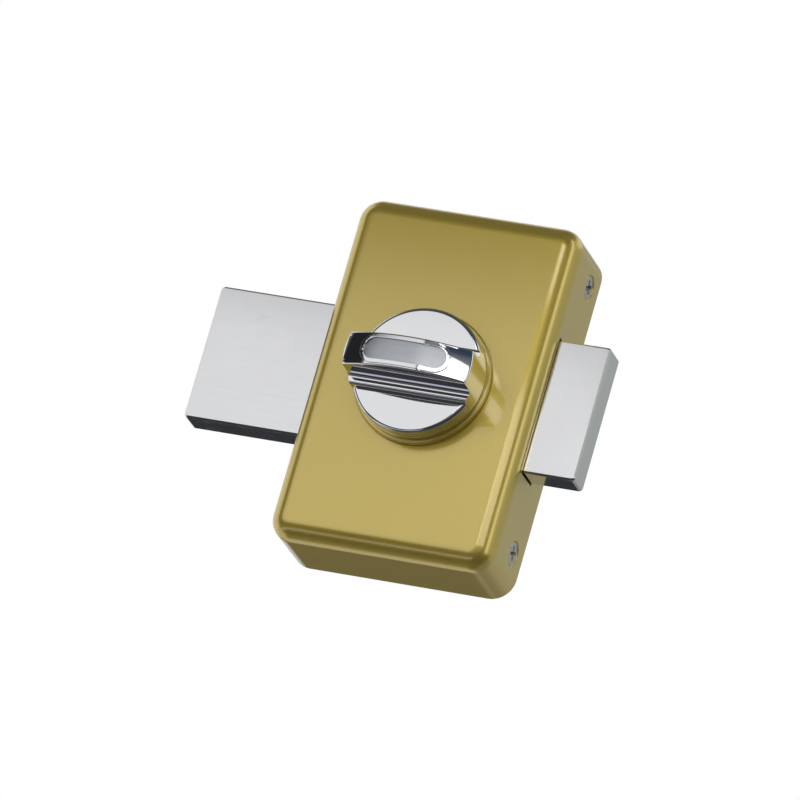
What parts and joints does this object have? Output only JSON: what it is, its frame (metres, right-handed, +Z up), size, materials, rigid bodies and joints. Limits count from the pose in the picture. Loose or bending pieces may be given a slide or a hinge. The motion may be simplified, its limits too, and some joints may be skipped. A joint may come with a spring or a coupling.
{
  "type": "rim night latch",
  "caption": "Surface-mounted rim lock: a rounded metal case, a thumb-turn knob with a raised bar grip and a flat square-ended bolt that slides right through the case.",
  "frame": {"origin": "on the knob's axis, in the plane of the door's inner face, at the middle of the case", "axes": "+X along the bolt, the way it throws; +Y into the door; +Z up. The knob faces -Y"},
  "size_m": [0.1054, 0.0412, 0.093],
  "materials": {
    "case_lacquer": "champagne gold metallic lacquer, glossy clear coat",
    "satin_nickel": "satin nickel plate",
    "knob_chrome": "polished chrome plate",
    "screw_nickel": "bright nickel plate",
    "screw_zinc": "zinc plate",
    "zinc_plate": "zinc plated steel sheet",
    "cast_zinc": "as-cast zinc alloy",
    "hard_steel": "turned and hardened steel",
    "spring_steel": "blued spring steel",
    "bronze": "sintered bronze"
  },
  "bodies": {
    "case": {"cover": "case_lacquer", "knob_collar": "case_lacquer", "base_plate": "zinc_plate", "upper_rail": "cast_zinc", "lower_rail": "cast_zinc", "guide_plate": "zinc_plate", "stop_pin": "hard_steel", "click_spring": "spring_steel", "front_bush": "bronze", "rear_bush": "bronze", "cover_screw_right_top": "screw_nickel", "guide_screw_right_top": "screw_zinc", "rail_screw_right_top": "screw_zinc", "cover_screw_left_top": "screw_nickel", "guide_screw_left_top": "screw_zinc", "rail_screw_left_top": "screw_zinc", "cover_screw_left_bottom": "screw_nickel", "guide_screw_left_bottom": "screw_zinc", "rail_screw_left_bottom": "screw_zinc", "cover_screw_right_bottom": "screw_nickel", "guide_screw_right_bottom": "screw_zinc", "rail_screw_right_bottom": "screw_zinc"},
    "bolt": {"bolt": "satin_nickel"},
    "knob": {"knob": "knob_chrome", "spindle": "hard_steel", "knob_set_screw": "hard_steel", "wave_washer": "spring_steel", "retaining_clip": "spring_steel"},
    "click_ball": {"click_ball": "hard_steel"}
  },
  "joints": [
    {"name": "knob_turn", "type": "hinge", "parent": "case", "child": "knob", "pos_m": [0, 0, 0], "axis": [0, 1, 0], "range_deg": [-180, 180]},
    {"name": "bolt_slide", "type": "slide", "parent": "case", "child": "bolt", "axis": [1, 0, 0], "range_m": [-0.01178, 0.01178]},
    {"name": "click_ball_press", "type": "slide", "parent": "case", "child": "click_ball", "axis": [0, 1, 0], "range_m": [0, 0.0006], "stiffness_N_per_m": 400, "springref_m": -0.002, "deforming": ["click_spring"]}
  ],
  "couplings": [
    {"joint": "knob_turn", "follows": "bolt_slide", "rad_per_m": 266.67}
  ]
}
